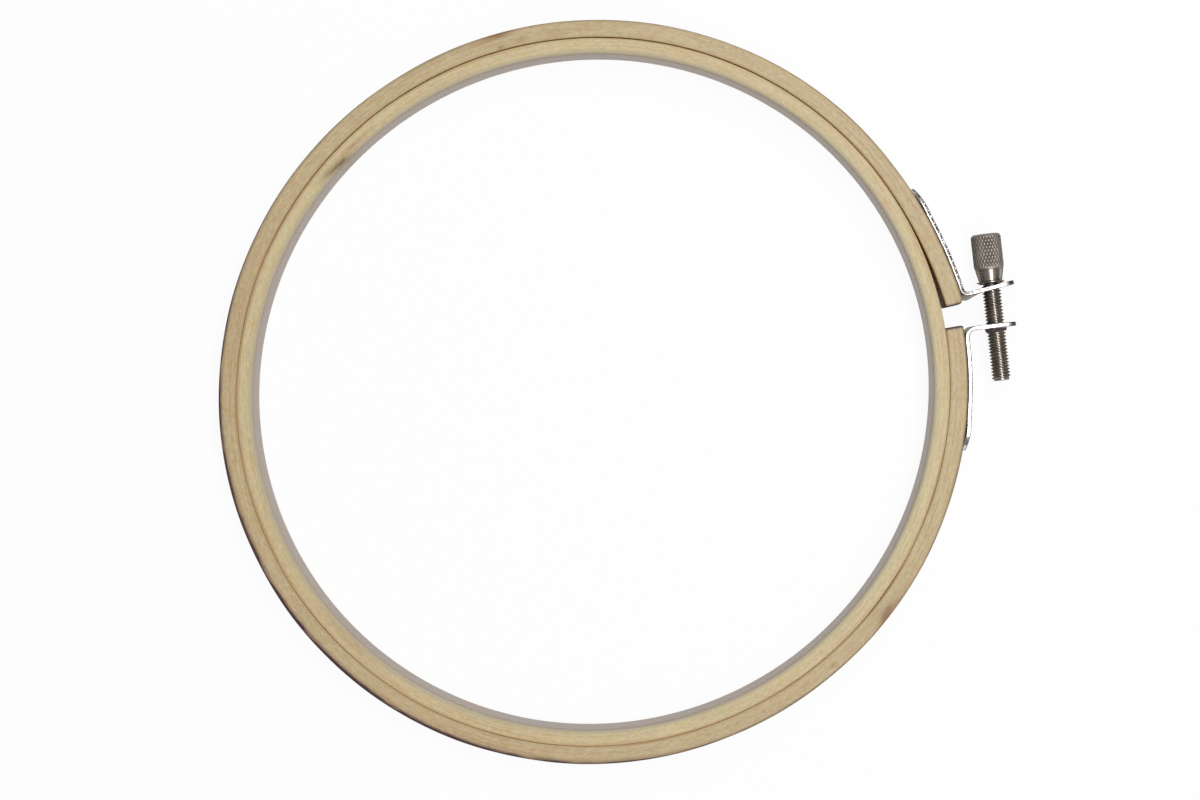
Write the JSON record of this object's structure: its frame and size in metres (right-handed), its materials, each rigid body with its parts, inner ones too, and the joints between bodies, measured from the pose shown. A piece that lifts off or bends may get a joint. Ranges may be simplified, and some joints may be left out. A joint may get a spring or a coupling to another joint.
{
  "type": "embroidery hoop",
  "caption": "Round bamboo embroidery hoop: a plain inner ring inside a split outer ring that a knurled thumbscrew through two bent steel brackets draws together.",
  "frame": {"origin": "on the surface that the hoop lies on, under the middle of its footprint; the rings' common centre is 5.6 mm from it towards -X", "axes": "+Z up, along the rings' axis; +X to the right in the picture, towards the thumbscrew; +Y up in the picture"},
  "size_m": [0.17, 0.1584, 0.01],
  "materials": {
    "inner_bamboo": "satin varnish",
    "outer_bamboo": "satin varnish",
    "bracket_steel": "bright nickel plate",
    "screw_steel": "dull nickel plate"
  },
  "bodies": {
    "lower_arm": {"outer_ring_lower_arm": "outer_bamboo", "lower_bracket": "bracket_steel", "lower_tack_1": "bracket_steel", "lower_tack_2": "bracket_steel"},
    "upper_arm": {"outer_ring_upper_arm": "outer_bamboo", "upper_bracket": "bracket_steel", "upper_tack_1": "bracket_steel", "upper_tack_2": "bracket_steel"},
    "inner_ring": {"inner_ring": "inner_bamboo"},
    "washer": {"screw_washer": "bracket_steel"},
    "thumbscrew": {"thumbscrew": "screw_steel"}
  },
  "joints": [
    {"name": "ring_flex", "type": "hinge", "parent": "lower_arm", "child": "upper_arm", "pos_m": [-0.083, 0.00813, 0.005], "axis": [0, 0, 1], "range_deg": [-0.1, 2.85]},
    {"name": "screw_travel", "type": "slide", "parent": "lower_arm", "child": "washer", "axis": [-0.1132, 0.9936, 0], "range_m": [-0.00027, 0.0079]},
    {"name": "screw_turn", "type": "hinge", "parent": "washer", "child": "thumbscrew", "pos_m": [0.08056, 0.01426, 0.005], "axis": [-0.1132, 0.9936, 0], "range_deg": [-140, 4100]},
    {"name": "inner_ring_lift", "type": "slide", "parent": "lower_arm", "child": "inner_ring", "axis": [0, 0, 1], "range_m": [0, 0.04]}
  ],
  "couplings": [
    {"joint": "screw_turn", "follows": "screw_travel", "rad_per_m": 8976},
    {"joint": "ring_flex", "follows": "screw_travel", "rad_per_m": 6.0139}
  ]
}
